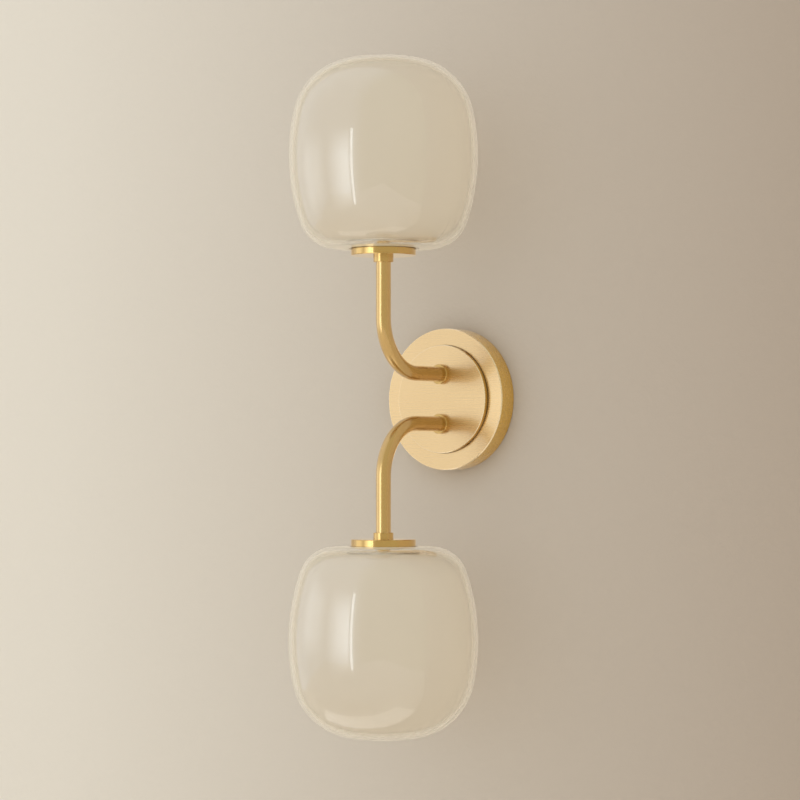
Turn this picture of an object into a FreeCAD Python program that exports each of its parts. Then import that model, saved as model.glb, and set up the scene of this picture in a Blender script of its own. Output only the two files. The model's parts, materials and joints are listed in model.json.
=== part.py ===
import FreeCAD, Part
import math
import os

# Double arm wall sconce: a round canopy, two bent tubes and two double-walled glass globes.
# Millimetres, +Z up. The wall is the plane Y = 0 and the lamp stands out towards -Y.
# The origin is the centre of the canopy's wall face.
# One arm is drawn going up. The other is the same arm turned half a turn about the Y axis.

# Canopy and the raised disc on its face
canopy_diameter = 120.65
canopy_depth = 17.4
canopy_face_wall = 2.2
canopy_rim_wall = 3.0
canopy_bevel = 0.6
canopy_foot_bevel = 0.4
face_disc_diameter = 92.0
face_disc_height = 4.4
face_disc_bevel = 0.4

# Arms
arm_reach = 101.6
arm_spacing = 42.2
tube_diameter = 12.7
tube_wall = 1.3
bend_radius = 45.0
ferrule_diameter = 17.0
ferrule_height = 4.0
ferrule_bevel = 0.4
collar_diameter = 16.8
collar_height = 5.5
collar_bevel = 0.35

# Threaded nipples with their lock washers and nuts
nipple_diameter = 9.9
nipple_bore = 6.6
nipple_grip = 12.0
nipple_proud = 1.5
lock_washer_diameter = 15.0
lock_washer_thickness = 0.8
lock_washer_teeth = 12
lock_washer_notch_width = 1.2
lock_washer_notch_depth = 1.3
nut_width = 14.0
nut_thickness = 3.5
nut_bevel = 0.7

# Glass holder
glass_seat_height = 126.0
holder_diameter = 54.0
holder_thickness = 7.6
holder_bevel = 1.2
holder_back_bevel = 0.5
gasket_thickness = 0.8
gasket_width = 3.4
spigot_diameter = 35.4
spigot_wall = 2.0
spigot_floor = 1.6
spigot_height = 12.9
spigot_bevel = 0.8

# Glass globe: a clear outer shell and an opal liner, each with an outline of tangent arcs.
# A shallow recess under each shell takes the holder's disc, so the base hangs past its front face.
globe_diameter = 156.5
globe_height = 159.6
globe_recess_depth = 2.8
globe_recess_gap = 1.5
globe_equator = 75.0
globe_side_radius = 173.0
globe_dome_radius = 190.0
globe_base_radius = 700.0
globe_far_corner = 54.0
globe_near_corner = 29.5
recess_outer_round = 1.4
recess_inner_round = 0.6
clear_wall = 2.0
liner_gap = 3.0
liner_wall = 1.8
liner_far_corner = 48.0
liner_near_corner = 35.0
glass_collar_wall = 1.8
glass_collar_height = 13.0
glass_collar_flange = 3.5
liner_ring_height = 2.5

# Lampholder
bracket_thickness = 1.0
bracket_width = 13.0
bracket_leg = 20.0
lampholder_diameter = 19.2
lampholder_across_flats = 18.0
lampholder_lift = 8.2
lampholder_height = 22.0
lampholder_bevel = 1.0
pin_spacing = 9.0
slot_depth = 12.0
contact_thickness = 0.5
contact_height = 9.0
rivet_diameter = 2.6
rivet_head_diameter = 4.6
rivet_head_height = 0.8
rivet_grip = 3.0
rivet_below_top = 15.0

# Plug-in bulb
bulb_diameter = 17.0
bulb_base_width = 15.0
bulb_base_depth = 10.0
bulb_base_corner = 2.0
bulb_skirt_height = 5.0
bulb_base_height = 12.0
bulb_cover_height = 34.0
bulb_cover_wall = 1.2
bulb_pin_width = 2.4
bulb_pin_thickness = 0.8
bulb_pin_length = 8.0
bulb_pin_hold = 2.0

# Mounting plate, its two upturned ears and the screws that hold the canopy to them
plate_diameter = 100.0
plate_thickness = 2.0
plate_window_diameter = 54.0
box_screw_near_spacing = 69.85
box_screw_far_spacing = 88.9
box_slot_width = 4.8
ear_width = 14.0
ear_height = 13.0
ear_bend_radius = 2.5
grub_diameter = 4.0
grub_length = 5.0
grub_inset = 0.3
grub_height = 8.0
grub_socket_width = 2.0
grub_socket_depth = 2.2
ground_screw_radius = 39.5
ground_screw_angle = -45.0
ground_screw_diameter = 4.0
ground_head_diameter = 8.5
ground_head_height = 2.6
ground_slot_width = 1.2
ground_slot_depth = 1.1

# Wiring
core_diameter = 1.9
core_offset = 1.2
core_bend_radius = 4.5
core_run_height = 4.6
connector_length = 18.0
connector_mouth_diameter = 10.4
connector_tip_diameter = 7.0
connector_tip_bevel = 1.0
connector_well_diameter = 6.4
connector_well_depth = 7.0
connector_start = 11.0
connector_height = 8.2
ground_connector_drop = 41.0
ground_connector_start = 8.0
ground_lug_diameter = 8.0
ground_lug_thickness = 0.8
ground_barrel_diameter = 3.4
ground_barrel_length = 4.0

# Clearances
hole_clearance = 0.2
slip_clearance = 0.05
thread_clearance = 0.5
seat_gap = 0.1
contact_gap = 0.3

# Sizes that follow from those above
canopy_radius = canopy_diameter / 2
canopy_inner_radius = canopy_radius - canopy_rim_wall
canopy_inner_face = canopy_depth - canopy_face_wall
face_height = canopy_depth + face_disc_height
arm_height = arm_spacing / 2
tube_radius = tube_diameter / 2
tube_bore_radius = tube_radius - tube_wall
nipple_radius = nipple_diameter / 2
nipple_hole_radius = nipple_radius + hole_clearance
holder_face = -(gasket_thickness + seat_gap)
holder_back = holder_face - holder_thickness
spigot_seat = holder_face + spigot_floor
holder_washer_seat = spigot_seat + bracket_thickness
holder_nut_seat = holder_washer_seat + lock_washer_thickness
collar_bore_radius = spigot_diameter / 2 + thread_clearance
collar_outer_radius = collar_bore_radius + glass_collar_wall
collar_flange_radius = collar_outer_radius + glass_collar_flange
globe_mouth_radius = collar_outer_radius + hole_clearance
globe_recess_radius = holder_diameter / 2 + globe_recess_gap
globe_top = globe_height - globe_recess_depth
liner_inset = clear_wall + liner_gap
lampholder_base = spigot_seat + lampholder_lift
lampholder_top = lampholder_base + lampholder_height
slot_length = bulb_pin_width + 2 * contact_gap + contact_thickness
slot_width = bulb_pin_thickness + 2 * contact_gap
slot_place = (pin_spacing + contact_thickness) / 2
wall_washer_seat = canopy_inner_face - lock_washer_thickness
wall_nut_seat = wall_washer_seat - nut_thickness
grub_tip_radius = canopy_radius - grub_inset - grub_length
core_fan_x = 0.6 * connector_start
core_fan_height = 0.55 * arm_height

ORIGIN = FreeCAD.Vector(0, 0, 0)
ALONG_X = FreeCAD.Vector(1, 0, 0)
ALONG_Y = FreeCAD.Vector(0, 1, 0)
ALONG_Z = FreeCAD.Vector(0, 0, 1)


# Building blocks. Each is drawn about the Z axis and then carried to its place.

def point(radius, height):
    """A point of a turning profile, in the XZ plane."""
    return FreeCAD.Vector(radius, 0, height)


def turned(profile):
    """A solid turned from the (radius, height) corners of its half section."""
    corners = [point(radius, height) for radius, height in profile]
    face = Part.Face(Part.makePolygon(corners + corners[:1]))
    return face.revolve(ORIGIN, ALONG_Z, 360)


def ring(outer_radius, inner_radius, start, height):
    """A plain ring from start to start + height."""
    end = start + height
    return turned([(inner_radius, start), (outer_radius, start), (outer_radius, end), (inner_radius, end)])


def bevelled_ring(outer_radius, inner_radius, start, height, bevel):
    """A ring whose outer edge at the far end is bevelled."""
    end = start + height
    return turned([(inner_radius, start), (outer_radius, start), (outer_radius, end - bevel),
                   (outer_radius - bevel, end), (inner_radius, end)])


def rod(radius, start, height):
    """A plain round bar."""
    return Part.makeCylinder(radius, height, point(0, start))


def block(width, depth, start, height):
    """A box centred on the Z axis."""
    return Part.makeBox(width, depth, height, FreeCAD.Vector(-width / 2, -depth / 2, start))


def hexagon(across_flats, start, height):
    """A hexagonal bar."""
    corner = across_flats / math.sqrt(3)
    turns = [math.radians(60 * k) for k in range(7)]
    outline = [FreeCAD.Vector(corner * math.cos(a), corner * math.sin(a), start) for a in turns]
    return Part.Face(Part.makePolygon(outline)).extrude(ALONG_Z * height)


def moved(shape, x=0, y=0, z=0):
    """A copy carried along the axes."""
    copy = shape.copy()
    copy.translate(FreeCAD.Vector(x, y, z))
    return copy


def spun(shape, axis, angle):
    """A copy turned about an axis through the origin."""
    copy = shape.copy()
    copy.rotate(ORIGIN, axis, angle)
    return copy


def from_wall(shape):
    """Drawn looking at the wall, X to the right and Y up, with Z standing out: carried to the wall."""
    return spun(shape, ALONG_X, 90)


def at_arm_root(shape):
    """Drawn about the wall's normal: carried to the upper arm's place on the canopy."""
    return from_wall(moved(shape, y=arm_height))


def at_glass_seat(shape):
    """Drawn about the upper globe's axis, with the glass seat at height 0: carried to its place."""
    return moved(shape, y=-arm_reach, z=glass_seat_height)


def rounded_path(corners, radii):
    """Straight runs through the corners, joined by tangent arcs of the given radii."""
    edges = []
    start = corners[0]
    for before, corner, after, radius in zip(corners, corners[1:], corners[2:], radii):
        inward = (corner - before).normalize()
        outward = (after - corner).normalize()
        half_turn = inward.getAngle(outward) / 2
        reach = radius * math.tan(half_turn)
        bisector = (outward - inward).normalize()
        arc_start = corner - inward * reach
        arc_end = corner + outward * reach
        arc_middle = corner + bisector * (radius / math.cos(half_turn) - radius)
        edges.append(Part.LineSegment(start, arc_start).toShape())
        edges.append(Part.Arc(arc_start, arc_middle, arc_end).toShape())
        start = arc_end
    edges.append(Part.LineSegment(start, corners[-1]).toShape())
    return Part.Wire(edges)


def swept_bar(corners, radii, radius):
    """A round bar along a rounded path."""
    path = rounded_path(corners, radii)
    section = Part.Wire(Part.Circle(corners[0], corners[1] - corners[0], radius).toShape())
    return path.makePipeShell([section], True, False)


# Wall side

def make_canopy():
    """The round cover: a turned shell, open towards the wall, with two arm holes and two screw holes."""
    shell = turned([(canopy_inner_radius, 0), (canopy_radius - canopy_foot_bevel, 0),
                    (canopy_radius, canopy_foot_bevel), (canopy_radius, canopy_depth - canopy_bevel),
                    (canopy_radius - canopy_bevel, canopy_depth), (0, canopy_depth),
                    (0, canopy_inner_face), (canopy_inner_radius, canopy_inner_face)])
    for side in (1, -1):
        arm_hole = moved(rod(nipple_hole_radius, 0, canopy_depth), y=side * arm_height)
        screw_hole = spun(rod(grub_diameter / 2 + slip_clearance, 0, canopy_radius), ALONG_X, -side * 90)
        shell = shell.cut(arm_hole).cut(moved(screw_hole, z=grub_height))
    return from_wall(shell)


def make_face_disc():
    """The raised disc that the arms stand on."""
    disc = bevelled_ring(face_disc_diameter / 2, 0, canopy_depth, face_disc_height, face_disc_bevel)
    for side in (1, -1):
        disc = disc.cut(moved(rod(nipple_hole_radius, canopy_depth, face_disc_height), y=side * arm_height))
    return from_wall(disc)


def make_mounting_plate():
    """The round steel plate behind the canopy: a wire window, two screw slots and two upturned ears."""
    plate = ring(plate_diameter / 2, plate_window_diameter / 2, 0, plate_thickness)
    near = box_screw_near_spacing / 2
    far = box_screw_far_spacing / 2
    slot = block(far - near, box_slot_width, 0, plate_thickness)
    slot = moved(slot, x=(near + far) / 2)
    for end in (near, far):
        slot = slot.fuse(moved(rod(box_slot_width / 2, 0, plate_thickness), x=end))
    plate = plate.cut(slot).cut(spun(slot, ALONG_Z, 180))
    ear = turned_up_strip(plate_diameter / 2 - ear_width, grub_tip_radius, ear_height)
    for turn in (0, 180):
        plate = plate.fuse(spun(ear, ALONG_Z, turn))
    screw_hole = at_ground_screw(rod(ground_screw_diameter / 2 + slip_clearance, 0, plate_thickness))
    return from_wall(plate.removeSplitter().cut(screw_hole).Solids[0])


def turned_up_strip(start, end, height):
    """A strip along Y that turns up through a rounded bend, as thick as the plate."""
    inner = ear_bend_radius
    outer = inner + plate_thickness
    rise = plate_thickness + inner
    foot = end - outer
    middle = math.sqrt(0.5)
    corner_outer = FreeCAD.Vector(0, foot + outer * middle, outer - outer * middle)
    corner_inner = FreeCAD.Vector(0, foot + inner * middle, outer - inner * middle)
    outline = [
        Part.LineSegment(FreeCAD.Vector(0, start, 0), FreeCAD.Vector(0, foot, 0)),
        Part.Arc(FreeCAD.Vector(0, foot, 0), corner_outer, FreeCAD.Vector(0, end, outer)),
        Part.LineSegment(FreeCAD.Vector(0, end, outer), FreeCAD.Vector(0, end, height)),
        Part.LineSegment(FreeCAD.Vector(0, end, height), FreeCAD.Vector(0, end - plate_thickness, height)),
        Part.LineSegment(FreeCAD.Vector(0, end - plate_thickness, height),
                         FreeCAD.Vector(0, end - plate_thickness, rise)),
        Part.Arc(FreeCAD.Vector(0, end - plate_thickness, rise), corner_inner,
                 FreeCAD.Vector(0, foot, plate_thickness)),
        Part.LineSegment(FreeCAD.Vector(0, foot, plate_thickness),
                         FreeCAD.Vector(0, start, plate_thickness)),
        Part.LineSegment(FreeCAD.Vector(0, start, plate_thickness), FreeCAD.Vector(0, start, 0)),
    ]
    face = Part.Face(Part.Wire([line.toShape() for line in outline]))
    return moved(face.extrude(ALONG_X * ear_width), x=-ear_width / 2)


def make_grub_screws():
    """Two socket screws through the canopy's rim, top and bottom, that press on the plate's ears."""
    screw = rod(grub_diameter / 2, grub_tip_radius, grub_length)
    socket_start = grub_tip_radius + grub_length - grub_socket_depth
    screw = screw.cut(hexagon(grub_socket_width, socket_start, grub_socket_depth))
    pair = [moved(spun(screw, ALONG_X, -side * 90), z=grub_height) for side in (1, -1)]
    return from_wall(Part.makeCompound(pair))


def at_ground_screw(shape):
    """Carried to the ground screw's place on the mounting plate, drawn looking at the wall."""
    angle = math.radians(ground_screw_angle)
    return moved(shape, x=ground_screw_radius * math.cos(angle), y=ground_screw_radius * math.sin(angle))


def make_ground_screw():
    """The ground screw, with a washer head and a screwdriver slot."""
    head_start = plate_thickness + ground_lug_thickness
    head_end = head_start + ground_head_height
    screw = rod(ground_screw_diameter / 2, 0, head_start)
    screw = screw.fuse(rod(ground_head_diameter / 2, head_start, ground_head_height))
    screw = screw.cut(block(ground_head_diameter, ground_slot_width, head_end - ground_slot_depth,
                            ground_slot_depth))
    return from_wall(at_ground_screw(screw))


def make_ground_wire():
    """The ground wire: a crimped lug under the ground screw, and a core that ends in its own connector."""
    barrel = ground_barrel_diameter / 2
    run = plate_thickness + seat_gap + barrel
    crimp_start = ground_head_diameter / 2 + contact_gap
    neck = block(crimp_start + ground_lug_thickness, ground_barrel_diameter, plate_thickness,
                 ground_lug_thickness)
    lug = rod(ground_lug_diameter / 2, plate_thickness, ground_lug_thickness)
    lug = lug.fuse(moved(neck, x=-(crimp_start + ground_lug_thickness) / 2))
    lug = lug.cut(rod(ground_screw_diameter / 2 + slip_clearance, plate_thickness, ground_lug_thickness))
    crimp = spun(rod(barrel, crimp_start, ground_barrel_length), ALONG_Y, -90)
    lug = at_ground_screw(lug.fuse(moved(crimp, z=run)))
    angle = math.radians(ground_screw_angle)
    crimp_end = ground_screw_radius * math.cos(angle) - crimp_start - ground_barrel_length
    turn_in = (crimp_end + ground_connector_start) / 2
    corners = [
        FreeCAD.Vector(crimp_end, ground_screw_radius * math.sin(angle), run),
        FreeCAD.Vector(turn_in, ground_screw_radius * math.sin(angle), run),
        FreeCAD.Vector(turn_in, -ground_connector_drop, connector_height),
        FreeCAD.Vector(ground_connector_start - connector_well_depth, -ground_connector_drop,
                       connector_height),
    ]
    core = swept_bar(corners, [core_bend_radius] * 2, core_diameter / 2)
    return from_wall(Part.makeCompound([lug, core]))


def make_connectors():
    """Three twist-on connectors: two for the lamp cores and one for the ground wire."""
    mouth = connector_mouth_diameter / 2
    tip = connector_tip_diameter / 2
    well = connector_well_diameter / 2
    body = turned([(0, connector_well_depth), (well, connector_well_depth), (well, 0), (mouth, 0),
                   (mouth, connector_well_depth), (tip, connector_length - connector_tip_bevel),
                   (tip - connector_tip_bevel, connector_length), (0, connector_length)])
    right = moved(spun(body, ALONG_Y, 90), x=connector_start, z=connector_height)
    left = moved(spun(body, ALONG_Y, -90), x=-connector_start, z=connector_height)
    ground = moved(spun(body, ALONG_Y, -90), x=ground_connector_start, y=-ground_connector_drop,
                   z=connector_height)
    return from_wall(Part.makeCompound([right, left, ground]))


# Arm pieces, drawn for the upper arm

def arm_corners(start_height, end_height, x=0):
    """The centre line of the arm, from the glass end to the wall end."""
    return [
        FreeCAD.Vector(x, -arm_reach, glass_seat_height + start_height),
        FreeCAD.Vector(x, -arm_reach, arm_height),
        FreeCAD.Vector(x, -end_height, arm_height),
    ]


def make_arm_tube():
    """The tube, from the glass holder round its quarter-turn bend to the face disc."""
    corners = arm_corners(holder_back, face_height)
    outside = swept_bar(corners, [bend_radius], tube_radius)
    return outside.cut(swept_bar(corners, [bend_radius], tube_bore_radius))


def make_ferrule():
    """The ring round the tube where it stands on the face disc."""
    return at_arm_root(bevelled_ring(ferrule_diameter / 2, tube_radius + slip_clearance, face_height,
                                     ferrule_height, ferrule_bevel))


def make_collar():
    """The ring round the tube under the glass holder."""
    collar = bevelled_ring(collar_diameter / 2, tube_radius + slip_clearance, -holder_back, collar_height,
                           collar_bevel)
    return at_glass_seat(spun(collar, ALONG_X, 180))


def make_wall_nipple():
    """The threaded nipple that leaves the tube and passes through the face disc and the canopy."""
    start = wall_nut_seat - nipple_proud
    return at_arm_root(ring(nipple_radius, nipple_bore / 2, start, face_height + nipple_grip - start))


def make_glass_nipple():
    """The threaded nipple that leaves the tube and carries the glass holder."""
    start = holder_back - nipple_grip
    end = holder_nut_seat + nut_thickness + nipple_proud
    return at_glass_seat(ring(nipple_radius, nipple_bore / 2, start, end - start))


def lock_washer(start):
    """A washer with a row of teeth round its edge."""
    washer = ring(lock_washer_diameter / 2, nipple_hole_radius, start, lock_washer_thickness)
    notch = block(2 * lock_washer_notch_depth, lock_washer_notch_width, start, lock_washer_thickness)
    notch = moved(notch, x=lock_washer_diameter / 2)
    notches = [spun(notch, ALONG_Z, 360 * k / lock_washer_teeth) for k in range(lock_washer_teeth)]
    return washer.cut(Part.makeCompound(notches))


def nut(start):
    """A hexagonal nut with its corners taken off at both ends."""
    corner = nut_width / math.sqrt(3)
    end = start + nut_thickness
    envelope = turned([(nipple_radius + slip_clearance, start), (corner - nut_bevel, start),
                       (corner, start + nut_bevel / 2), (corner, end - nut_bevel / 2),
                       (corner - nut_bevel, end), (nipple_radius + slip_clearance, end)])
    return hexagon(nut_width, start, nut_thickness).common(envelope)


def make_wires():
    """The two insulated cores of the arm, from the lampholder to the connectors in the canopy."""
    cores = []
    for side in (1, -1):
        corners = arm_corners(lampholder_base, core_run_height, x=side * core_offset)
        height_in_well = core_diameter / 2 + contact_gap
        before_mouth = connector_start - core_diameter
        corners += [
            FreeCAD.Vector(side * core_fan_x, -core_run_height, core_fan_height),
            FreeCAD.Vector(side * before_mouth, -connector_height, height_in_well),
            FreeCAD.Vector(side * (connector_start + connector_well_depth), -connector_height,
                           height_in_well),
        ]
        radii = [bend_radius] + [core_bend_radius] * 3
        cores.append(swept_bar(corners, radii, core_diameter / 2))
    return Part.makeCompound(cores)


# Glass holder

def make_holder_disc():
    """The polished disc that the globe stands on."""
    edge = holder_diameter / 2
    disc = turned([(nipple_hole_radius, holder_back), (edge - holder_back_bevel, holder_back),
                   (edge, holder_back + holder_back_bevel), (edge, holder_face - holder_bevel),
                   (edge - holder_bevel, holder_face), (nipple_hole_radius, holder_face)])
    return at_glass_seat(disc)


def make_spigot():
    """The threaded cup that the globe screws on to."""
    outer = spigot_diameter / 2
    top = holder_face + spigot_height
    cup = turned([(nipple_hole_radius, holder_face), (outer, holder_face), (outer, top - spigot_bevel),
                  (outer - spigot_bevel, top), (outer - spigot_wall, top),
                  (outer - spigot_wall, spigot_seat), (nipple_hole_radius, spigot_seat)])
    return at_glass_seat(cup)


def make_gasket():
    """The soft ring between the holder disc and the glass."""
    inner = globe_mouth_radius + hole_clearance
    return at_glass_seat(ring(inner + gasket_width, inner, holder_face, gasket_thickness))


def make_bracket():
    """The steel stirrup that holds the lampholder above the nut."""
    gap = lampholder_across_flats + 2 * slip_clearance
    width = gap + 2 * bracket_thickness
    stirrup = block(width, bracket_width, spigot_seat, bracket_thickness + bracket_leg)
    stirrup = stirrup.cut(block(gap, bracket_width, spigot_seat + bracket_thickness, bracket_leg))
    stirrup = stirrup.cut(rod(nipple_hole_radius, spigot_seat, bracket_thickness))
    stirrup = stirrup.cut(rivet_hole())
    return at_glass_seat(stirrup)


def rivet_height():
    """The height of the rivets above the glass seat."""
    return lampholder_top - rivet_below_top


def rivet_hole():
    """A bar along X that clears the rivets."""
    bar = rod(rivet_diameter / 2 + slip_clearance, -lampholder_diameter, 2 * lampholder_diameter)
    return moved(spun(bar, ALONG_Y, 90), z=rivet_height())


def make_rivets():
    """Two rivets through the stirrup's legs into the lampholder."""
    grip_start = lampholder_across_flats / 2 - rivet_grip
    head_start = lampholder_across_flats / 2 + slip_clearance + bracket_thickness
    rivet = rod(rivet_diameter / 2, grip_start, head_start - grip_start)
    rivet = rivet.fuse(rod(rivet_head_diameter / 2, head_start, rivet_head_height))
    pair = [moved(spun(rivet, ALONG_Y, side * 90), z=rivet_height()) for side in (1, -1)]
    return at_glass_seat(Part.makeCompound(pair))


def contact_slots():
    """The two slots in the lampholder's top."""
    start = lampholder_top - slot_depth
    slot = block(slot_length, slot_width, start, slot_depth)
    return Part.makeCompound([moved(slot, x=side * slot_place) for side in (1, -1)])


def make_lampholder():
    """The ceramic lampholder, with a flat each side and two slots for the bulb's pins."""
    body = bevelled_ring(lampholder_diameter / 2, 0, lampholder_base, lampholder_height, lampholder_bevel)
    body = body.common(block(lampholder_across_flats, lampholder_diameter, lampholder_base,
                             lampholder_height))
    body = body.cut(contact_slots())
    for side in (1, -1):
        well = rod(rivet_diameter / 2 + slip_clearance, lampholder_across_flats / 2 - rivet_grip,
                   rivet_grip)
        body = body.cut(moved(spun(well, ALONG_Y, side * 90), z=rivet_height()))
    return at_glass_seat(body)


def make_contacts():
    """The spring contacts, one against the outer end of each slot."""
    start = lampholder_top - slot_depth
    leaf = block(contact_thickness, slot_width, start, contact_height)
    place = slot_place + slot_length / 2 - contact_thickness / 2
    return at_glass_seat(Part.makeCompound([moved(leaf, x=side * place) for side in (1, -1)]))


# Plug-in bulb

def bulb_start():
    """The underside of the bulb's base, just clear of the lampholder."""
    return lampholder_top + contact_gap


def make_bulb_pins():
    """The bulb's two contact pins, held in its base."""
    end = bulb_start() + bulb_pin_hold
    pin = block(bulb_pin_width, bulb_pin_thickness, end - bulb_pin_hold - bulb_pin_length,
                bulb_pin_hold + bulb_pin_length)
    pin = pin.makeFillet(bulb_pin_thickness, [edge for edge in pin.Edges if is_pin_tip(edge)])
    return at_glass_seat(Part.makeCompound([moved(pin, x=side * pin_spacing / 2) for side in (1, -1)]))


def is_pin_tip(edge):
    """True for the two edges across the free end of a pin."""
    box = edge.BoundBox
    at_tip = box.ZMax < bulb_start() - bulb_pin_length / 2
    return at_tip and box.YLength > bulb_pin_thickness / 2


def make_bulb_base():
    """The bulb's base: a rounded block that opens out into a round skirt."""
    start = bulb_start()
    foot = block(bulb_base_width, bulb_base_depth, start, bulb_base_height)
    upright = [edge for edge in foot.Edges if edge.BoundBox.ZLength > bulb_base_height / 2]
    foot = foot.makeFillet(bulb_base_corner, upright)
    skirt_start = start + bulb_base_height - bulb_skirt_height
    radius = bulb_diameter / 2
    skirt = turned([(0, skirt_start), (radius - bulb_cover_wall, skirt_start),
                    (radius, skirt_start + bulb_cover_wall), (radius, start + bulb_base_height),
                    (0, start + bulb_base_height)])
    base = foot.fuse(skirt).removeSplitter()
    for side in (1, -1):
        well = block(bulb_pin_width, bulb_pin_thickness, start, bulb_pin_hold)
        base = base.cut(moved(well, x=side * pin_spacing / 2))
    return at_glass_seat(base)


def make_bulb_cover():
    """The bulb's cover: a thin round-ended cap."""
    start = bulb_start() + bulb_base_height
    outer = bulb_diameter / 2
    inner = outer - bulb_cover_wall
    shoulder = start + bulb_cover_height - outer
    middle = math.sqrt(0.5)
    outline = [
        Part.LineSegment(point(inner, start), point(outer, start)),
        Part.LineSegment(point(outer, start), point(outer, shoulder)),
        Part.Arc(point(outer, shoulder), point(outer * middle, shoulder + outer * middle),
                 point(0, shoulder + outer)),
        Part.LineSegment(point(0, shoulder + outer), point(0, shoulder + inner)),
        Part.Arc(point(0, shoulder + inner), point(inner * middle, shoulder + inner * middle),
                 point(inner, shoulder)),
        Part.LineSegment(point(inner, shoulder), point(inner, start)),
    ]
    face = Part.Face(Part.Wire([line.toShape() for line in outline]))
    return at_glass_seat(face.revolve(ORIGIN, ALONG_Z, 360))


# Glass globe

def base_centre():
    """The height of the centre of the arc under the globe, which ends at the edge of the recess."""
    return math.sqrt(globe_base_radius ** 2 - globe_recess_radius ** 2) - globe_recess_depth


def corner_centre(first, first_reach, second, second_reach):
    """The point at given distances from two centres, on the outer side of the globe."""
    between = second - first
    distance = between.Length
    along = (first_reach ** 2 - second_reach ** 2 + distance ** 2) / (2 * distance)
    across = math.sqrt(first_reach ** 2 - along ** 2)
    direction = between.normalize()
    sideways = FreeCAD.Vector(direction.z, 0, -direction.x)
    if sideways.x < 0:
        sideways = -sideways
    return first + direction * along + sideways * across


def arc_between(centre, radius, first, last):
    """The arc round centre, from the direction of one point to the direction of another."""
    start = centre + (first - centre).normalize() * radius
    end = centre + (last - centre).normalize() * radius
    middle = centre + ((start + end) * 0.5 - centre).normalize() * radius
    return Part.Arc(start, middle, end)


def shell_arcs(inset, far_corner, near_corner, end_radius):
    """The five tangent arcs of a globe outline, from the top of its dome round to the edge of its recess.

    The outline lies inside the globe's outer surface by the inset. Its corners have their own radii.
    """
    side = point(globe_diameter / 2 - globe_side_radius, globe_equator)
    dome = point(0, globe_top - globe_dome_radius)
    base = point(0, base_centre())
    side_radius = globe_side_radius - inset
    dome_radius = globe_dome_radius - inset
    base_radius = globe_base_radius - inset
    far = corner_centre(side, side_radius - far_corner, dome, dome_radius - far_corner)
    near = corner_centre(side, side_radius - near_corner, base, base_radius - near_corner)
    top = point(0, globe_top)
    end = point(end_radius, base.z - math.sqrt(base_radius ** 2 - end_radius ** 2))
    return [
        arc_between(dome, dome_radius, top, dome + (far - dome) * 2),
        arc_between(far, far_corner, far + (far - dome), far + (far - side)),
        arc_between(side, side_radius, side + (far - side) * 2, side + (near - side) * 2),
        arc_between(near, near_corner, near + (near - side), near + (near - base)),
        arc_between(base, base_radius, base + (near - base) * 2, end),
    ]


def shell_outline(inset, corners, edge_round, corner_round):
    """One face of a shell, from the top of its dome, round and up into the recess, to its mouth."""
    recess = globe_recess_radius + inset
    arcs = shell_arcs(inset, *corners, recess + edge_round)
    edge_start = arcs[-1].EndPoint
    edge_end = point(recess, edge_start.z + edge_round)
    corner_start = point(recess, inset - corner_round)
    corner_end = point(recess - corner_round, inset)
    return arcs + [
        arc_between(edge_start + ALONG_Z * edge_round, edge_round, edge_start, edge_end),
        Part.LineSegment(edge_end, corner_start),
        arc_between(corner_end - ALONG_Z * corner_round, corner_round, corner_start, corner_end),
        Part.LineSegment(corner_end, point(globe_mouth_radius, inset)),
    ]


def globe_shell(inset, far_corner, near_corner, wall):
    """A closed glass shell turned from two outlines. A round that is wide on one is tight on the other."""
    outside = shell_outline(inset, (far_corner, near_corner), recess_outer_round, recess_inner_round)
    inside = shell_outline(inset + wall, (far_corner - wall, near_corner - wall),
                           recess_inner_round, recess_outer_round)
    mouth = Part.LineSegment(outside[-1].EndPoint, inside[-1].EndPoint)
    axis = Part.LineSegment(inside[0].StartPoint, outside[0].StartPoint)
    outline = outside + [mouth] + inside[::-1] + [axis]
    face = Part.Face(Part.Wire([line.toShape() for line in outline]))
    return at_glass_seat(face.revolve(ORIGIN, ALONG_Z, 360))


def make_clear_globe():
    """The clear outer shell."""
    return globe_shell(0, globe_far_corner, globe_near_corner, clear_wall)


def make_opal_liner():
    """The opal shell inside it, with its own corners, which stands on the collar's flange."""
    return globe_shell(liner_inset, liner_far_corner, liner_near_corner, liner_wall)


def make_glass_collar():
    """The threaded collar in the globe's mouth, with a flange between the two shells."""
    flange_start = clear_wall + hole_clearance
    collar = turned([(collar_bore_radius, 0), (collar_outer_radius, 0), (collar_outer_radius, flange_start),
                     (collar_flange_radius, flange_start), (collar_flange_radius, liner_inset),
                     (collar_outer_radius, liner_inset), (collar_outer_radius, glass_collar_height),
                     (collar_bore_radius, glass_collar_height)])
    return at_glass_seat(collar)


def make_liner_ring():
    """The ring that clamps the liner down on the collar's flange."""
    start = liner_inset + liner_wall + seat_gap
    return at_glass_seat(ring(collar_flange_radius, collar_outer_radius + slip_clearance, start,
                              liner_ring_height))


# Export

wall_pieces = {
    "canopy": make_canopy(),
    "face_disc": make_face_disc(),
    "mounting_plate": make_mounting_plate(),
    "canopy_grub_screws": make_grub_screws(),
    "ground_screw": make_ground_screw(),
    "ground_wire": make_ground_wire(),
    "wire_connectors": make_connectors(),
}

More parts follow.
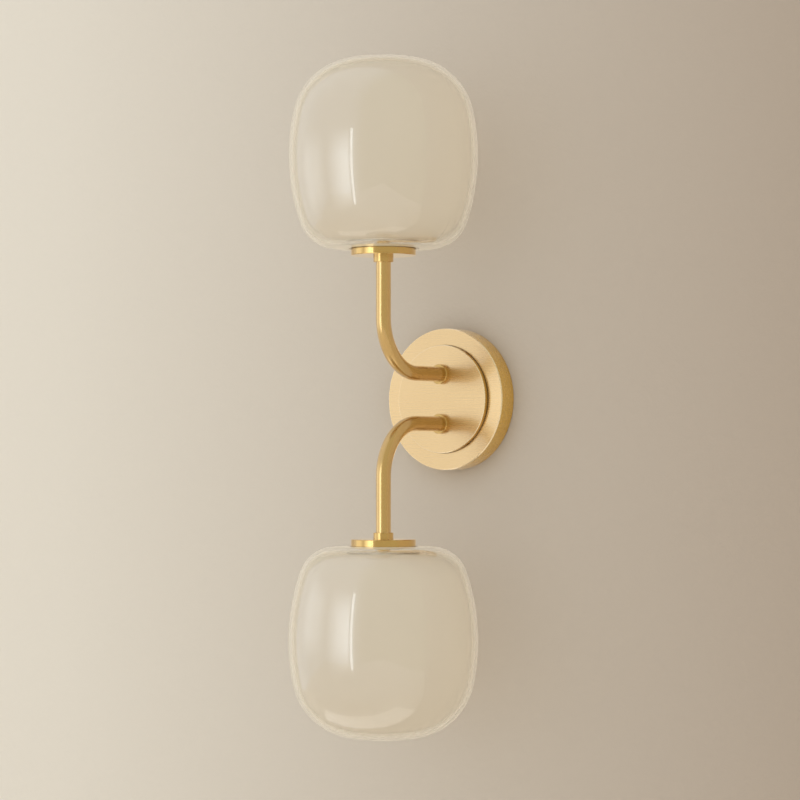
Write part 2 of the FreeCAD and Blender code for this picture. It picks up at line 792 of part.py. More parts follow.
arm_pieces = {
    "arm_tube": make_arm_tube(),
    "arm_ferrule": make_ferrule(),
    "arm_wall_nipple": make_wall_nipple(),
    "arm_lock_washer": at_arm_root(lock_washer(wall_washer_seat)),
    "arm_nut": at_arm_root(nut(wall_nut_seat)),
    "arm_wires": make_wires(),
    "holder_nipple": make_glass_nipple(),
    "holder_collar": make_collar(),
    "holder_disc": make_holder_disc(),
    "holder_gasket": make_gasket(),
    "holder_spigot": make_spigot(),
    "holder_lock_washer": at_glass_seat(lock_washer(holder_washer_seat)),
    "holder_nut": at_glass_seat(nut(holder_nut_seat)),
    "lampholder_bracket": make_bracket(),
    "lampholder_rivets": make_rivets(),
    "lampholder_body": make_lampholder(),
    "lampholder_contacts": make_contacts(),
    "bulb_pins": make_bulb_pins(),
    "bulb_base": make_bulb_base(),
    "bulb_cover": make_bulb_cover(),
    "glass_collar": make_glass_collar(),
    "liner_ring": make_liner_ring(),
    "clear_globe": make_clear_globe(),
    "opal_liner": make_opal_liner(),
}

pieces = dict(wall_pieces)
for name, shape in arm_pieces.items():
    pieces["upper_" + name] = shape
    pieces["lower_" + name] = spun(shape, ALONG_Y, 180)

os.makedirs("parts", exist_ok=True)
for name, shape in pieces.items():
    shape.exportStep("parts/" + name + ".step")
    print(name, len(shape.Solids), round(shape.Volume, 1), shape.isValid())
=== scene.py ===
# %% [markdown]
# # A double arm wall sconce
# A round brass canopy sits on the wall. Two bent tubes leave it, one going up and one going down,
# and each carries a double-walled glass globe: a clear outer shell with an opal liner inside. The
# solids come in as a fixed frame, at their real size and place. This lesson gives them their
# finishes, adds the fine threads and ribs that the solids leave out, and lights them as the lamp
# is seen on a wall.

# %% Load the frame
import json
import math
import bpy
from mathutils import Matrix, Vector


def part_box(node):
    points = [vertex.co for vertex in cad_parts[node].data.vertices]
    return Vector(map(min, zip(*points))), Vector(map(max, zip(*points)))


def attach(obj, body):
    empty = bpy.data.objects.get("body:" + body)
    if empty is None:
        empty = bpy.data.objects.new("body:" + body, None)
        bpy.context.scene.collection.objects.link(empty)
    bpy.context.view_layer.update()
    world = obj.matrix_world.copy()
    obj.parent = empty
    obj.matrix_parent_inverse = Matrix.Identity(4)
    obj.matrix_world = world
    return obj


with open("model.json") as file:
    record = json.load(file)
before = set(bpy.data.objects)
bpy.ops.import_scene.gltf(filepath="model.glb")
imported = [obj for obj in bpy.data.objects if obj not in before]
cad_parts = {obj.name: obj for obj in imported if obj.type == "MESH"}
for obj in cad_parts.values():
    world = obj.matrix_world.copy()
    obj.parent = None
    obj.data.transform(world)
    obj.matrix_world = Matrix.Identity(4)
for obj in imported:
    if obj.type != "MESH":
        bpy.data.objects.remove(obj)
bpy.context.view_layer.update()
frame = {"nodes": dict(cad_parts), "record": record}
nodes = frame["nodes"]

# %% [markdown]
# ## Sizes
# All lengths are in metres. The lamp's main sizes are read from the boxes of its own pieces, so
# they follow the frame. Each arm is a tube with one quarter-turn bend, and everything that a globe
# is made of turns about the axis of its arm.

# %% Sizes read from the frame
tube_low, tube_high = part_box("upper_arm_tube")
tube_radius = (tube_high.x - tube_low.x) / 2
arm_axis_y = tube_low.y + tube_radius
arm_height = tube_low.z + tube_radius
bend_radius = 0.045
ends = {"upper": 1, "lower": -1}
print("arm axis y", round(arm_axis_y, 4), "height", round(arm_height, 4))

# %% [markdown]
# ## Writing shader maths as expressions
# A pattern in a material is a sum of many small nodes, which is hard to read as a list. Wrapping a
# socket in a class that overloads the arithmetic lets a pattern be written as the formula that it
# is. Every other node comes from one method, which sets the node's own settings first and then
# feeds its sockets.

# %% A socket that does arithmetic
class Socket:
    """The output of a node, which adds Math nodes when it is used in an expression."""

    def __init__(self, owner, output):
        self.owner = owner
        self.output = output

    def maths(self, operation, *values):
        return self.owner.node("Math", {"operation": operation}, dict(enumerate(values)))

    def __add__(self, other):
        return self.maths("ADD", self, other)

    def __sub__(self, other):
        return self.maths("SUBTRACT", self, other)

    def __rsub__(self, other):
        return self.maths("SUBTRACT", other, self)

    def __mul__(self, other):
        return self.maths("MULTIPLY", self, other)

    def __truediv__(self, other):
        return self.maths("DIVIDE", self, other)

    __radd__ = __add__

    def low(self, other):
        return self.maths("MINIMUM", self, other)

    def high(self, other):
        return self.maths("MAXIMUM", self, other)

    def over(self, limit):
        return self.maths("GREATER_THAN", self, limit)

    def size(self):
        return self.maths("ABSOLUTE", self)

    def root(self):
        return self.maths("SQRT", self)


print("sockets can be added, multiplied and compared")

# %% A tree of nodes
mix_amount, mix_first, mix_second, mix_result = 0, 6, 7, 2


class Nodes:
    """A node tree, with one method that adds any node to it."""

    def __init__(self, tree):
        self.tree = tree

    def node(self, kind, settings=None, sockets=None, output=0):
        made = self.tree.nodes.new(kind if "Node" in kind else "ShaderNode" + kind)
        for key, value in (settings or {}).items():
            if key == "stops":
                set_stops(made.color_ramp.elements, value)
            else:
                setattr(made, key, value)
        for key, value in (sockets or {}).items():
            self.feed(made.inputs[key], value)
        return Socket(self, made.outputs[output])

    def feed(self, place, value):
        if isinstance(value, Socket):
            self.tree.links.new(value.output, place)
        else:
            place.default_value = value

    def axes(self, vector):
        """The x, y and z of a vector."""
        return [self.node("SeparateXYZ", None, {0: vector}, axis) for axis in "XYZ"]

    def vector(self, x, y, z):
        return self.node("CombineXYZ", None, {0: x, 1: y, 2: z})

    def noise(self, vector, scale, detail=2.0):
        """Smooth noise about 0, from -0.5 to 0.5."""
        texture = self.node("TexNoise", None, {"Vector": vector, "Scale": scale, "Detail": detail})
        return texture - 0.5

    def mixed(self, amount, first, second):
        """The first colour where amount is 0, and the second where it is 1.

        A Mix node has sockets of one name for every type, so its colour sockets go by number.
        """
        return self.node("Mix", {"data_type": "RGBA"},
                         {mix_amount: amount, mix_first: first, mix_second: second}, mix_result)


def set_stops(elements, stops):
    """Gives a ramp its stops, each a place and a grey. The ramp keeps them in order by place."""
    elements[0].position, elements[1].position = stops[0][0], stops[-1][0]
    for stop in stops[1:-1]:
        elements.new(stop[0])
    for element, stop in zip(elements, stops):
        element.color = (stop[1], stop[1], stop[1], 1.0)


print("node trees ready")

# %% A finish
class Finish(Nodes):
    """A material. Its wear and bump say what changes over the surface, and the rest is constant."""

    def __init__(self, name, colour, roughness, **constants):
        self.material = bpy.data.materials.new(name)
        self.material.use_nodes = True
        super().__init__(self.material.node_tree)
        self.surface = self.tree.nodes["Principled BSDF"]
        self.output = self.tree.nodes["Material Output"].inputs["Surface"]
        self.colour = (*colour, 1.0)
        self.surface.inputs["Base Color"].default_value = self.colour
        self.surface.inputs["Roughness"].default_value = roughness
        for words, value in constants.items():
            socket_name = words.replace("_", " ").title().replace("Ior", "IOR")
            self.surface.inputs[socket_name].default_value = value

    def place(self):
        """The x, y and z of a point of the lamp, in metres."""
        return self.axes(self.node("TexCoord", output="Object"))

    def tinted(self, amount, colour):
        """The finish's own colour where amount is 0, and the other where it is 1."""
        return self.mixed(amount, self.colour, (*colour, 1.0))

    def bump(self, height, depth=1.0):
        """Bends the light as if the surface were raised by height times depth, in metres."""
        bumped = self.node("Bump", None, {"Height": height, "Distance": depth, "Strength": 1.0})
        self.feed(self.surface.inputs["Normal"], bumped)

    def wear(self, roughness=None, colour=None):
        """Feeds what changes over the surface to the shader."""
        if roughness is not None:
            self.feed(self.surface.inputs["Roughness"], roughness)
        if colour is not None:
            self.feed(self.surface.inputs["Base Color"], colour)

    def give_way(self, amount, other):
        """Shows another shader instead, by the amount, from 0 to 1."""
        shown = Socket(self, self.output.links[0].from_socket)
        self.feed(self.output, self.node("MixShader", None, {0: amount, 1: shown, 2: other}))


print("finishes ready to make")

# %% [markdown]
# ## Brass
# The brass is brushed and then lacquered. Brushing leaves fine lines that all run one way, so a
# light is smeared across them. The canopy and its disc are brushed straight, the tubes along their
# length, and the rings and holders are turned on a lathe and polished. A grain says in which
# coordinates the lines lie: it gives two places across the lines and one along them.

# %% Grains
def straight_grain(finish):
    """Lines along X, as on a flat face against the wall."""
    x, y, z = finish.place()
    return z, y, x


def tube_grain(finish):
    """Lines along an arm, round its bend. The lower arm is the upper one turned over."""
    x, y, z = finish.place()
    past_bend_y = y - (arm_axis_y + bend_radius)
    past_bend_z = z.size() - (arm_height + bend_radius)
    short_y = past_bend_y.low(0.0)
    short_z = past_bend_z.low(0.0)
    inward = bend_radius - (short_y * short_y + short_z * short_z).root()
    return x, inward, past_bend_z.high(0.0) - past_bend_y.high(0.0) + short_y - short_z


def turned_grain(finish):
    """Rings about the axis of an arm's glass end."""
    x, y, z = finish.place()
    from_axis = y - arm_axis_y
    radius = (x * x + from_axis * from_axis).root()
    return radius, z, x


def ferrule_grain(finish):
    """Rings about the axis of an arm's wall end."""
    x, y, z = finish.place()
    from_axis = z.size() - arm_height
    radius = (x * x + from_axis * from_axis).root()
    return radius, y, x


print("grains for a flat face, a bent tube, a turned disc and a ferrule")

# %% [markdown]
# Noise that is squeezed across the lines and stretched along them makes the brushing, in fine
# lines and in wider streaks. They show in the gloss, in the colour and as a shallow relief, and a
# slow cloud lets the metal drift towards a deeper tone.

# %% Brass with a grain
lacquer_roughness, lacquer_ior = 0.09, 1.65
grain_stretch = 0.012
patina_scale = 18.0
cloud_share, line_share, patina_share = 0.9, 0.22, 0.4
streak_height = 0.6


def brass(name, colours, grain, roughness, swing, line_pitch, streak_pitch, depth, coat):
    """Lacquered brass, in a colour and its deeper tone. Swing is how far its roughness drifts."""
    finish = Finish(name, colours[0], roughness, metallic=1.0, coat_weight=coat,
                    coat_roughness=lacquer_roughness, coat_ior=lacquer_ior)
    across, other_across, along = grain(finish)
    stretched = finish.vector(across, other_across, along * grain_stretch)
    lines = finish.noise(stretched, 1 / line_pitch)
    streaks = finish.noise(stretched, 1 / streak_pitch)
    cloud = finish.noise(finish.vector(*finish.place()), patina_scale)
    patina = cloud * cloud_share + streaks * line_share + lines * line_share + patina_share
    finish.wear(roughness + (lines + streaks + cloud) * swing,
                finish.tinted(patina.high(0.0).low(1.0), colours[1]))
    finish.height = (lines + streaks * streak_height) * depth
    finish.bump(finish.height)
    return finish


face_colours = (0.735, 0.52, 0.262), (0.635, 0.44, 0.205)
gold_colours = (0.62, 0.405, 0.140), (0.55, 0.355, 0.11)
face = brass("face_brass", face_colours, straight_grain, roughness=0.27, swing=0.04,
             line_pitch=0.0003, streak_pitch=0.0011, depth=0.0000021, coat=1.0)
tube = brass("tube_brass", gold_colours, tube_grain, roughness=0.25, swing=0.06,
             line_pitch=0.0004, streak_pitch=0.0016, depth=0.00001, coat=1.0)
ferrule = brass("ferrule_brass", gold_colours, ferrule_grain, roughness=0.20, swing=0.04,
                line_pitch=0.0003, streak_pitch=0.0012, depth=0.000006, coat=0.5)
collar = brass("collar_brass", gold_colours, turned_grain, roughness=0.20, swing=0.04,
               line_pitch=0.0003, streak_pitch=0.0012, depth=0.000006, coat=0.5)
polished = brass("polished_brass", gold_colours, turned_grain, roughness=0.13, swing=0.03,
                 line_pitch=0.0003, streak_pitch=0.0015, depth=0.000003, coat=0.5)
print("brass", [made.material.name for made in (face, tube, ferrule, collar, polished)])

# %% [markdown]
# The front edges of the canopy and its raised disc get a painted highlight, a bright colour that
# stands in for the light they catch. The corner at the foot of the disc gets a painted shade, and
# the sides of canopy and disc are painted a deeper, darker gold as painted shade. Each mark is a
# ring round the middle of the canopy, and its place along the depth tells edge from foot. The
# canopy is spun, so round the disc its face falls back towards its edge by two degrees.

# %% Painted edge highlights, painted side shade and painted shade at the foot of the disc
# Painted shade colour, a deeper and darker gold, for the sides of canopy and disc.
painted_side_shade_colour = (0.67, 0.425, 0.072)
# Painted highlight colour for the front edges of canopy and disc.
painted_highlight_colour = (1.0, 0.87, 0.62)
# Painted shade colour for the corner at the foot of the disc.
painted_foot_shade_colour = (0.22, 0.14, 0.05)
disc_edge_depth, canopy_edge_depth = 0.0007, 0.0009
disc_highlight_width, canopy_highlight_width, highlight_strength = 0.0008, 0.0010, 0.9
foot_gap, foot_width, foot_height, foot_shade_strength = 0.0001, 0.0005, 0.0026, 1.3
side_shade_width, side_shade_strength = 0.0002, 3.0
canopy_side_depth = 0.0003
face_slope = 0.035


def ring(radius, middle, half_width):
    """1 on a circle round the canopy's axis, and 0 at half_width to either side of it."""
    return (1.0 - (radius - middle).size() / half_width).high(0.0)


disc_low, disc_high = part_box("face_disc")
canopy_low, canopy_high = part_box("canopy")
disc_radius, canopy_radius = disc_high.x, canopy_high.x
x, y, z = face.place()
radius = (x * x + z * z).root()
behind_disc_edge = y.over(disc_low.y + disc_edge_depth)
behind_canopy_edge = y.over(canopy_low.y + canopy_edge_depth)
# Painted highlights: bright rings along the front edges of the disc and of the canopy.
disc_highlight_ring = ring(radius, disc_radius, disc_highlight_width) * (1.0 - behind_disc_edge)
canopy_highlight_ring = ring(radius, canopy_radius, canopy_highlight_width) * (1.0 - behind_canopy_edge)
# Painted shade: a dark ring in the corner at the foot of the disc, fading towards the front.
near_foot_shade = ((y - disc_high.y) / foot_height + 1.0).high(0.0).low(1.0)
foot_shade = ring(radius, disc_radius + foot_gap, foot_width) * near_foot_shade
# Painted shade on the sides of the disc and of the canopy.
disc_side_shade = ring(radius, disc_radius, side_shade_width) * behind_disc_edge * side_shade_strength
canopy_side_shade = radius.over(canopy_radius - canopy_side_depth) * behind_canopy_edge
brushed = Socket(face, face.surface.inputs["Base Color"].links[0].from_socket)
side_shaded = face.mixed((canopy_side_shade + disc_side_shade).low(1.0), brushed, (*painted_side_shade_colour, 1.0))
# The painted edge highlight is laid over the painted side shade.
painted_highlight = (disc_highlight_ring + canopy_highlight_ring).low(1.0) * highlight_strength
with_highlights = face.mixed(painted_highlight, side_shaded, (*painted_highlight_colour, 1.0))
# The painted shade at the foot goes over all the rest.
face.wear(colour=face.mixed((foot_shade * foot_shade_strength).low(1.0), with_highlights, (*painted_foot_shade_colour, 1.0)))
face.bump(face.height - (radius - disc_radius).high(0.0) * face_slope)
print("disc edge at", round(disc_radius, 4), "canopy edge at", round(canopy_radius, 4))

# %% [markdown]
# ## Glass
# The outer shell is clear, and along its outline, where its wall is seen from the side, a cream
# colour is mixed in as a painted highlight for the light that a thick glass edge gathers. The
# liner is opal, a cream glass that scatters light, with a gloss from the furnace. Lamps shine
# through both with a small loss, and matt surfaces see through the liner, so the wall behind a
# globe isn't dark.

# %% Clear glass and opal glass
glass_ior = 1.5
clear_colour, clear_roughness = (0.985, 0.98, 0.95), 0.04
clear_shadow = (0.97, 0.96, 0.93, 1.0)
sheen_colour = (1.0, 0.96, 0.88, 1.0)
ripple_scale, ripple_depth = 14.0, 0.00004
painted_rim_light_colour = (0.95, 0.91, 0.81, 1.0)
painted_rim_light_ramp = {"From Min": 0.64, "From Max": 0.76, "To Max": 0.24}
opal_colour, opal_dense_colour = (0.703, 0.636, 0.538), (0.738, 0.676, 0.580)
opal_shadow = (0.95, 0.93, 0.90, 1.0)
opal_roughness, opal_swing = 0.16, 0.06
opal_scale, opal_depth, opal_stretch = 16.0, 0.0001, 0.5
opal_density = 0.4
opal_glow = 0.22


def clear_glass():
    """Clear glass that lets lamps through to what stands inside it."""
    finish = Finish("clear_glass", clear_colour, clear_roughness, ior=glass_ior,
                    transmission_weight=1.0, sheen_weight=0.4, sheen_roughness=0.25,
                    sheen_tint=sheen_colour)
    ripple = finish.noise(finish.vector(*finish.place()), ripple_scale, detail=1.0)
    finish.bump(ripple, ripple_depth)
    # Painted highlight: a cream diffuse colour mixed in where the glass is seen edge on.
    edge_on = finish.node("LayerWeight", None, {"Blend": 0.5}, "Facing")
    rim_light_share = finish.node("MapRange", {"interpolation_type": "SMOOTHSTEP"},
                        {"Value": edge_on, **painted_rim_light_ramp})
    finish.give_way(rim_light_share, finish.node("BsdfDiffuse", None, {"Color": painted_rim_light_colour}))
    clear = finish.node("BsdfTransparent", None, {"Color": clear_shadow})
    finish.give_way(finish.node("LightPath", output="Is Shadow Ray"), clear)
    return finish.material


def opal_glass():
    """Cream opal glass, a little uneven in density, that lets some light through."""
    finish = Finish("opal_glass", opal_colour, opal_roughness, ior=glass_ior)
    x, y, z = finish.place()
    cloud = finish.noise(finish.vector(x, y, z * opal_stretch), opal_scale)
    finish.wear(opal_roughness + cloud * opal_swing,
                finish.tinted((cloud + opal_density).high(0.0), opal_dense_colour))
    finish.bump(cloud, opal_depth)
    glow = finish.node("BsdfTranslucent", None, {"Color": (*opal_dense_colour, 1.0)})
    finish.give_way(opal_glow, glow)
    passed = finish.node("BsdfTransparent", None, {"Color": opal_shadow})
    for ray in ("Is Shadow Ray", "Is Diffuse Ray"):
        finish.give_way(finish.node("LightPath", output=ray), passed)
    return finish.material


shell_glass = clear_glass()
liner_glass = opal_glass()
print("glass finishes", shell_glass.name, liner_glass.name)

# %% [markdown]
# ## Plated, moulded and fired pieces
# The pieces inside the lamp are plated steel, moulded plastic, ceramic and soft insulation. Each
# is a base colour that drifts slowly, with fine specks from its plating bath, its mould or its
# kiln. One function makes them all, and its numbers say how coarse and how glossy each one is.

# %% Plated, moulded and fired finishes
cloud_scale = 70.0
cloud_gloss, speck_gloss = 0.12, 0.16
cloud_wear, speck_wear, mean_wear = 0.8, 0.7, 0.3


def speckled(name, colour, worn_colour, roughness, speck_pitch, depth, **constants):
    """A finish with slow clouds and fine specks, both in its colour and in its gloss."""
    finish = Finish(name, colour, roughness, **constants)
    place = finish.vector(*finish.place())
    cloud = finish.noise(place, cloud_scale)
    specks = finish.noise(place, 1 / speck_pitch, detail=3.0)
    worn = (cloud * cloud_wear + specks * speck_wear + mean_wear).high(0.0)
    finish.wear(roughness + cloud * cloud_gloss + specks * speck_gloss,
                finish.tinted(worn, worn_colour))
    finish.bump(specks, depth)
    return finish.material


zinc = speckled("zinc", (0.62, 0.63, 0.64), (0.47, 0.48, 0.47),
                roughness=0.38, speck_pitch=0.0009, depth=0.00001, metallic=1.0)
nickel = speckled("nickel", (0.72, 0.66, 0.50), (0.60, 0.53, 0.38),
                  roughness=0.24, speck_pitch=0.0004, depth=0.000004, metallic=1.0)
green_steel = speckled("green_steel", (0.10, 0.38, 0.17), (0.06, 0.24, 0.11),
                       roughness=0.34, speck_pitch=0.0005, depth=0.000008, metallic=0.7)
green_sleeve = speckled("green_sleeve", (0.10, 0.40, 0.18), (0.07, 0.31, 0.13),
                        roughness=0.42, speck_pitch=0.0006, depth=0.00001)
white_sleeve = speckled("white_sleeve", (0.82, 0.81, 0.78), (0.72, 0.70, 0.65),
                        roughness=0.42, speck_pitch=0.0006, depth=0.00001)
orange_plastic = speckled("orange_plastic", (0.80, 0.40, 0.07), (0.66, 0.30, 0.05),
                          roughness=0.46, speck_pitch=0.0005, depth=0.00002)
silicone = speckled("silicone_ring", (0.78, 0.77, 0.73), (0.68, 0.66, 0.61),
                    roughness=0.50, speck_pitch=0.0008, depth=0.00001,
                    subsurface_weight=0.3, subsurface_scale=0.001)
ceramic = speckled("ceramic", (0.86, 0.85, 0.81), (0.76, 0.73, 0.67),
                   roughness=0.55, speck_pitch=0.0007, depth=0.00003)
white_plastic = speckled("gloss_plastic", (0.93, 0.90, 0.84), (0.87, 0.83, 0.76),
                         roughness=0.28, speck_pitch=0.0010, depth=0.000006)
frosted = speckled("frosted", (0.86, 0.85, 0.80), (0.78, 0.76, 0.70),
                   roughness=0.48, speck_pitch=0.0006, depth=0.00001,
                   transmission_weight=0.35, ior=1.49)
print("plated", [made.name for made in (zinc, nickel, green_steel)])
print("soft", [made.name for made in (green_sleeve, white_sleeve, silicone)])
print("hard", [made.name for made in (orange_plastic, ceramic, white_plastic, frosted)])

# %% [markdown]
# ## Give every piece its finish
# Each solid arrives with a plain material in its slot. Swapping that material is all that changes:
# the mesh of a solid is never touched. The clear shells neither cast a shadow nor show in matt
# light, because a ray may cross only a few see-through surfaces before it is given up, and the
# liners need them.

# %% Assign the finishes
by_piece = {
    "canopy": face.material,
    "face_disc": face.material,
    "arm_tube": tube.material,
    "arm_ferrule": ferrule.material,
    "holder_collar": collar.material,
}
by_slot = {
    "satin_brass": collar.material,
    "polished_brass": polished.material,
    "clear_glass": shell_glass,
    "opal_glass": liner_glass,
    "zinc_plated_steel": zinc,
    "green_steel": green_steel,
    "green_insulation": green_sleeve,
    "white_insulation": white_sleeve,
    "connector_plastic": orange_plastic,
    "silicone": silicone,
    "white_ceramic": ceramic,
    "contact_brass": nickel,
    "white_plastic": white_plastic,
    "frosted_plastic": frosted,
}


def short_name(node_name):
    """A node's name without its end of the lamp."""
    for end in ends:
        node_name = node_name.removeprefix(end + "_")
    return node_name


for part in frame["record"]["subparts"]:
    material = by_piece.get(short_name(part["node"]), by_slot[part["material_slot"]])
    for slot in nodes[part["node"]].material_slots:
        slot.material = material
for end in ends:
    nodes[end + "_clear_globe"].visible_shadow = False
    nodes[end + "_clear_globe"].visible_diffuse = False

# %% [markdown]
# ## Shapes made of geometry nodes
# Fine detail that repeats suits Geometry Nodes, because the sizes stay as named inputs. A tree is
# run once with its inputs set, and the result is kept as a plain mesh that rides on the lamp.

# %% A tree of geometry nodes and its plain result
class Shape(Nodes):
    """A tree of geometry nodes with named inputs, which ends in one finished mesh."""

    def __init__(self, name, inputs):
        tree = bpy.data.node_groups.new(name, "GeometryNodeTree")
        super().__init__(tree)
        sides = tree.interface
        sides.new_socket("Geometry", in_out="OUTPUT", socket_type="NodeSocketGeometry")
        for words in inputs:
            sides.new_socket(words, in_out="INPUT", socket_type="NodeSocketFloat")
        sides.new_socket("Finish", in_out="INPUT", socket_type="NodeSocketMaterial")
        self.given = tree.nodes.new("NodeGroupInput").outputs

    def input(self, words):
        return Socket(self, self.given[words])

    def close(self, geometry):
        whole = self.node("GeometryNodeRealizeInstances", None, {0: geometry})
        dressed = self.node("GeometryNodeSetMaterial", None,
                            {"Geometry": whole, "Material": self.input("Finish")})
        self.feed(self.tree.nodes.new("NodeGroupOutput").inputs[0], dressed)


def keep_mesh(name, shape, values, material):
    """Runs a tree with its inputs set, and keeps the result as a mesh that rides on the lamp."""
    piece = bpy.data.objects.new(name, bpy.data.meshes.new(name + "_start"))
    bpy.context.scene.collection.objects.link(piece)
    modifier = piece.modifiers.new("made", "NODES")
    modifier.node_group = shape.tree
    given = {**values, "Finish": material}
    for socket in shape.tree.interface.items_tree:
        if socket.in_out == "INPUT":
            modifier[socket.identifier] = given[socket.name]
    ready = piece.evaluated_get(bpy.context.evaluated_depsgraph_get())
    made = bpy.data.meshes.new_from_object(ready)
    piece.modifiers.remove(modifier)
    piece.data = made
    made.name = name
    made.shade_smooth()
    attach(piece, "lamp_frame")
    print(name, "faces", len(made.polygons))


print("geometry nodes ready")

# %% [markdown]
# ## Threads
# A globe screws on to the threaded cup behind it. A rolled thread is one ridge on a helix, so it
# is a spiral curve with a round profile swept along it. The lower one is the upper one turned
# over.

# %% The thread of a glass holder
thread_steps, ridge_steps = 64, 10
thread_depth = 0.0092

thread = Shape("thread", ["Radius", "Pitch", "Turns", "Ridge", "Start", "Turned", "Axis"])
spiral = thread.node("GeometryNodeCurveSpiral", None, {
    "Resolution": thread_steps, "Rotations": thread.input("Turns"),
    "Start Radius": thread.input("Radius"), "End Radius": thread.input("Radius"),
    "Height": thread.input("Turns") * thread.input("Pitch")})
round_ridge = thread.node("GeometryNodeCurvePrimitiveCircle", None,
                          {"Resolution": ridge_steps, "Radius": thread.input("Ridge")})
ridge = thread.node("GeometryNodeCurveToMesh", None,
                    {"Curve": spiral, "Profile Curve": round_ridge, "Fill Caps": True})
lifted = thread.node("GeometryNodeTransform", None, {
    "Geometry": ridge, "Translation": thread.vector(0.0, 0.0, thread.input("Start"))})
thread.close(thread.node("GeometryNodeTransform", None, {
    "Geometry": lifted, "Translation": thread.vector(0.0, thread.input("Axis"), 0.0),
    "Rotation": thread.vector(0.0, thread.input("Turned"), 0.0)}))

spigot_low, spigot_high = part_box("upper_holder_spigot")
spigot_radius = (spigot_high.x - spigot_low.x) / 2
thread_sizes = {"Radius": spigot_radius, "Pitch": 0.003, "Turns": 2.6, "Ridge": 0.00032,
                "Start": spigot_high.z - thread_depth, "Axis": arm_axis_y}
for end, side in ends.items():
    keep_mesh(end + "_holder_thread", thread,
              {**thread_sizes, "Turned": 0.0 if side > 0 else math.pi},
              polished.material)

# %% [markdown]
# ## Ribs
# The twist-on connectors have ribs to grip, which are one rod repeated round an axis. Each row of
# the table gives the x and z of a connector's mouth, and the way along X that it narrows.

# %% The ribs of the wire connectors
rib_count, rib_steps = 14, 8
rib_radius = 0.0004
rib_start = 0.0010

ribs = Shape("ribs", ["Wide", "Narrow", "Length", "Rib", "X", "Y", "Z", "Facing"])
rod = ribs.node("GeometryNodeCurvePrimitiveLine", None, {
    "Start": ribs.vector(ribs.input("Wide"), 0.0, 0.0),
    "End": ribs.vector(ribs.input("Narrow"), 0.0, ribs.input("Length"))})
rod_end = ribs.node("GeometryNodeCurvePrimitiveCircle", None,
                    {"Resolution": rib_steps, "Radius": ribs.input("Rib")})
rib = ribs.node("GeometryNodeCurveToMesh", None,
                {"Curve": rod, "Profile Curve": rod_end, "Fill Caps": True})
turn = ribs.node("GeometryNodeInputIndex") * (2 * math.pi / rib_count)
rib_ring = ribs.node("GeometryNodeInstanceOnPoints", None, {
    "Points": ribs.node("GeometryNodePoints", None, {"Count": rib_count}), "Instance": rib,
    "Rotation": ribs.vector(0.0, 0.0, turn)})
ribs.close(ribs.node("GeometryNodeTransform", None, {
    "Geometry": rib_ring,
    "Translation": ribs.vector(ribs.input("X"), ribs.input("Y"), ribs.input("Z")),
    "Rotation": ribs.vector(0.0, ribs.input("Facing"), 0.0)}))

connectors_low, connectors_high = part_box("wire_connectors")
connector_y = (connectors_low.y + connectors_high.y) / 2
connector_radius = (connectors_high.y - connectors_low.y) / 2
rib_sizes = {"Wide": connector_radius - rib_radius, "Narrow": 0.0036, "Length": 0.0150,
             "Rib": rib_radius, "Y": connector_y}
connector_places = {
    "right": (0.011, 0.0, 1),
    "left": (-0.011, 0.0, -1),
    "ground": (0.008, connectors_low.z + connector_radius, -1),
}
for name, (mouth_x, mouth_z, side) in connector_places.items():
    placed = {**rib_sizes, "X": mouth_x + side * rib_start, "Z": mouth_z,
              "Facing": side * math.pi / 2}
    keep_mesh("connector_ribs_" + name, ribs, placed, orange_plastic)

# %% [markdown]
# ## Wall and floor
# The lamp hangs on a wall whose colour carries painted light: lighter near the window on
# the left and darker to the right, a painted fall-off of the window's light. The wall that is
# seen carries this painted light and shade, while matt and mirrored light each come from a plain
# pale wall. Wall and floor are see-through from behind, so that the lamp can be looked at from
# any side, and light reaches the back of the canopy through the hole of the box in the wall,
# which the canopy covers.

# %% Stage
wall_gap = 0.0005
wall_reach, wall_top = 3.0, 2.2
floor_height, room_depth = -1.1, 4.0
box_hole = 0.0575
wall_roughness, floor_roughness = 0.9, 0.8
roller_scale, roller_depth = 160.0, 0.0004
# Painted light and shade of the window on the wall, lighter on the left, darker on the right.
painted_light_fade, brightest_x = (-0.47, 0.36), -1.6
painted_wall_light, painted_wall_shade = (0.724, 0.690, 0.622), (0.416, 0.350, 0.286)
painted_window_light = (0.95, 0.93, 0.86)
wall_bounce, wall_mirrored = (0.86, 0.80, 0.71), (0.74, 0.67, 0.56)
floor_colour = (0.92, 0.87, 0.79)


def stage_plane(name, corners, finish):
    """A flat piece of the room, left out for a camera that looks at it from behind."""
    behind = finish.node("NewGeometry", output="Backfacing")
    seen = finish.node("LightPath", output="Is Camera Ray")
    finish.give_way(behind * seen, finish.node("BsdfTransparent"))
    mesh = bpy.data.meshes.new(name)
    mesh.from_pydata(corners, [], [list(range(len(corners)))])
    mesh.materials.append(finish.material)
    plane = bpy.data.objects.new(name, mesh)
    bpy.context.scene.collection.objects.link(plane)


